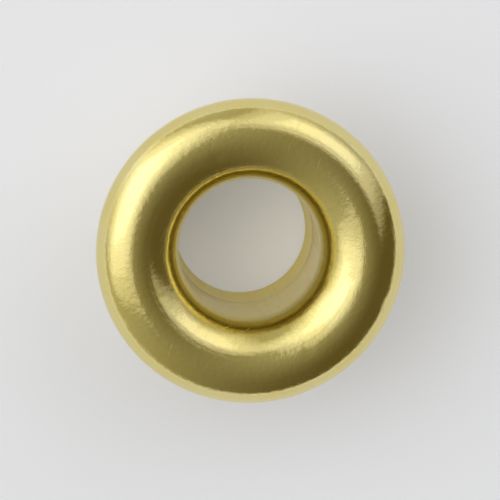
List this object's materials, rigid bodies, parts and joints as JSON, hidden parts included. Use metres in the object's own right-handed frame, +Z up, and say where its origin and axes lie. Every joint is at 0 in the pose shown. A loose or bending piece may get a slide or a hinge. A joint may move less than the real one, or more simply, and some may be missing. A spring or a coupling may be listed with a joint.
{
  "type": "grommet eyelet",
  "caption": "One-piece brass grommet eyelet: a domed flange with a turned-down rim and a short barrel that rounds in at its end, made to line a punched hole.",
  "frame": {"origin": "on the axis at the end of the barrel, on which the eyelet stands", "axes": "+Z up the barrel towards the flange; X and Y are any two directions across, because the eyelet is round"},
  "size_m": [0.0094, 0.0094, 0.0047],
  "materials": {
    "brass": "bright drawn brass sheet under a thin clear lacquer, with fine forming lines round the axis"
  },
  "bodies": {
    "root": {"eyelet": "brass"}
  },
  "joints": []
}
